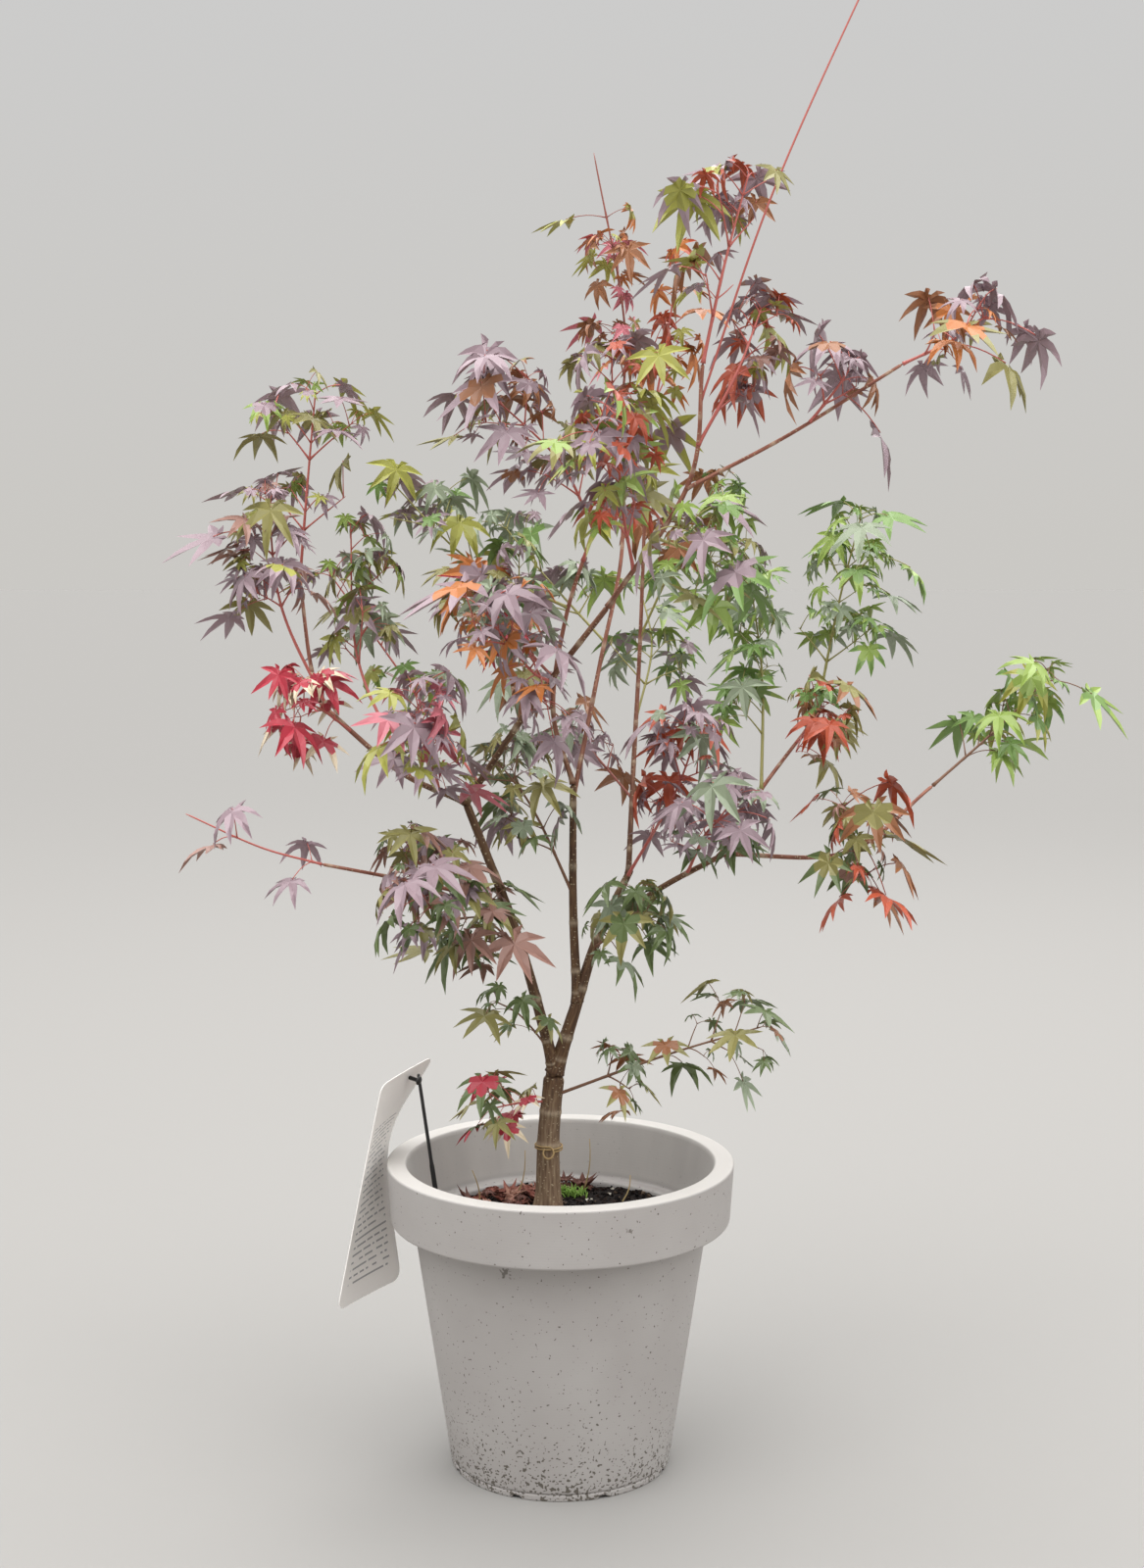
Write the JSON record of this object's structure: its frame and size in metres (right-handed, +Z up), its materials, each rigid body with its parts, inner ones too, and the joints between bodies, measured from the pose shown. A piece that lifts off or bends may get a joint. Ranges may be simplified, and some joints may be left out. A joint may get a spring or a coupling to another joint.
{
  "type": "potted maple shrub",
  "caption": "Young garden maple with forked stems and loose sprays of palmate leaves, in a round patio pot with compost and a hanging plant label.",
  "frame": {"origin": "centre of the pot's flat underside", "axes": "+Z up along the plant, +X to the right and +Y to the back of the side that it is usually seen from"},
  "size_m": [0.8085, 0.5994, 1.2476],
  "materials": {
    "pot": "matte",
    "compost": "matte",
    "label": "satin",
    "label_stick": "satin",
    "bark": "matte",
    "foliage_mauve": "matte",
    "foliage_olive": "matte",
    "foliage_green": "matte",
    "foliage_fresh": "matte",
    "foliage_bronze": "matte",
    "foliage_crimson": "matte"
  },
  "bodies": {
    "root": {"pot": "pot", "compost": "compost", "plant_label": "label", "label_stick": "label_stick", "trunk": "bark", "stem_left": "bark", "stem_right": "bark", "stem_centre": "bark", "bough_left": "bark", "bough_plume": "bark", "bough_low_left": "bark", "leader_low": "bark", "leader_high": "bark", "bough_top_right": "bark", "bough_centre": "bark", "bough_centre_back": "bark", "bough_back": "bark", "bough_right": "bark", "bough_far_right": "bark", "bough_right_up": "bark", "foliage_plume_top": "foliage_olive", "foliage_plume_left": "foliage_mauve", "foliage_plume_right": "foliage_olive", "foliage_plume_back": "foliage_green", "foliage_left_red": "foliage_crimson", "foliage_left_inner": "foliage_mauve", "foliage_low_left": "foliage_mauve", "foliage_low_left_tip": "foliage_mauve", "foliage_stem_low": "foliage_green", "foliage_centre_low": "foliage_green", "foliage_centre_front": "foliage_mauve", "foliage_centre_left": "foliage_green", "foliage_left_high": "foliage_green", "foliage_centre_top": "foliage_mauve", "foliage_centre_high": "foliage_bronze", "foliage_leader": "foliage_mauve", "foliage_leader_low": "foliage_green", "foliage_top_low": "foliage_bronze", "foliage_top": "foliage_mauve", "foliage_whip": "foliage_bronze", "foliage_top_right": "foliage_mauve", "foliage_top_right_tip": "foliage_mauve", "foliage_back_top": "foliage_bronze", "foliage_back_top_right": "foliage_bronze", "foliage_back_left": "foliage_green", "foliage_back": "foliage_green", "foliage_back_low": "foliage_mauve", "foliage_back_right": "foliage_green", "foliage_middle": "foliage_mauve", "foliage_middle_low": "foliage_green", "foliage_right": "foliage_mauve", "foliage_right_fork": "foliage_green", "foliage_far_tip": "foliage_fresh", "foliage_right_inner": "foliage_fresh", "foliage_right_low": "foliage_bronze", "foliage_right_high": "foliage_fresh", "foliage_trunk_right": "foliage_green", "foliage_trunk_left": "foliage_olive", "foliage_stem_twig": "foliage_green"}
  },
  "joints": []
}
